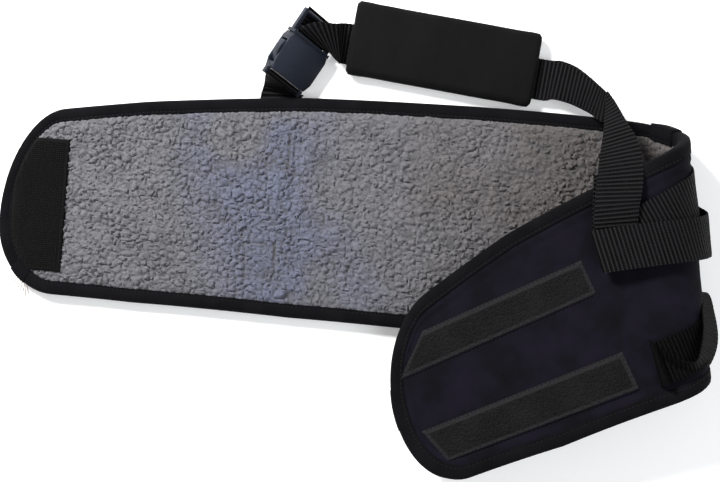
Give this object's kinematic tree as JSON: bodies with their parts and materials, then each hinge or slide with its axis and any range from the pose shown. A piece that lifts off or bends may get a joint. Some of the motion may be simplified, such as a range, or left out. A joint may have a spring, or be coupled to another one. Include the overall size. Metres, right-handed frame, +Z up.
{
  "type": "fleece-lined breastplate band",
  "caption": "Fleece-lined wrap band with bound edges, folded closure flap, hook-and-loop tape, webbing loops, side-release buckle and padded carry handle.",
  "frame": {"origin": "on the table under the middle of the part's box", "axes": "+X along the band from the hook tip to the bend, +Z up out of the fleece side, +Y towards the handle"},
  "size_m": [0.5225, 0.3445, 0.0752],
  "materials": {
    "cover_fabric": "matt knit laminated to foam",
    "foam_core": "closed-cell foam, hidden",
    "fleece_pile": "curly sherpa pile",
    "binding_tape": "folded knit binding, matt",
    "hook_tape": "hook tape, matt and bristly",
    "loop_tape": "brushed loop tape",
    "webbing": "ribbed webbing, slight sheen",
    "buckle_plastic": "moulded, fine grain",
    "grip_foam": "smooth closed-cell sleeve, matt"
  },
  "bodies": {
    "band": {"centre_cover": "cover_fabric", "centre_foam": "foam_core", "centre_fleece": "fleece_pile", "centre_binding": "binding_tape", "web_loop_upper_right": "webbing", "web_loop_lower_right": "webbing", "web_loop_upper_left": "webbing", "web_loop_lower_left": "webbing", "strap_eye": "webbing", "buckle_socket": "buckle_plastic"},
    "hook_end": {"hook_cover": "cover_fabric", "hook_foam": "foam_core", "hook_fleece": "fleece_pile", "hook_binding": "binding_tape", "hook_patch": "hook_tape"},
    "closure_flap": {"flap_cover": "cover_fabric", "flap_foam": "foam_core", "flap_fleece": "fleece_pile", "flap_binding": "binding_tape", "loop_strip_upper": "loop_tape", "loop_strip_lower": "loop_tape"},
    "handle": {"buckle_plug": "buckle_plastic", "handle_strap": "webbing", "strap_fall": "webbing"},
    "arm_left": {"release_arm_left": "buckle_plastic"},
    "arm_right": {"release_arm_right": "buckle_plastic"},
    "grip": {"grip_sleeve": "grip_foam"}
  },
  "joints": [
    {"name": "hook_end_fold", "type": "hinge", "parent": "band", "child": "hook_end", "pos_m": [-0.15911, 0.00954, 0.0147], "axis": [0.0767, 0.9971, 0], "range_deg": [0, 110]},
    {"name": "flap_fold", "type": "hinge", "parent": "band", "child": "closure_flap", "pos_m": [0.174, -0.04411, 0.05707], "axis": [-0.4079, 0.9116, -0.0518], "range_deg": [0, 95]},
    {"name": "buckle_release", "type": "slide", "parent": "band", "child": "handle", "axis": [0.5592, 0.829, 0], "range_m": [0, 0.024], "deforming": ["strap_fall", "release_arm_left", "release_arm_right"]},
    {"name": "arm_left_squeeze", "type": "hinge", "parent": "handle", "child": "arm_left", "pos_m": [-0.0448, 0.14339, 0.0267], "axis": [0.5547, -0.3742, 0.7431], "range_deg": [0, 8], "stiffness_Nm_per_rad": 0.2},
    {"name": "arm_right_squeeze", "type": "hinge", "parent": "handle", "child": "arm_right", "pos_m": [-0.03063, 0.13383, 0.0113], "axis": [0.5547, -0.3742, 0.7431], "range_deg": [-8, 0], "stiffness_Nm_per_rad": 0.2},
    {"name": "grip_slide", "type": "slide", "parent": "handle", "child": "grip", "axis": [0.9836, -0.1805, 0], "range_m": [0, 0.01]}
  ],
  "couplings": [
    {"joint": "arm_right_squeeze", "follows": "arm_left_squeeze", "ratio": -1}
  ]
}
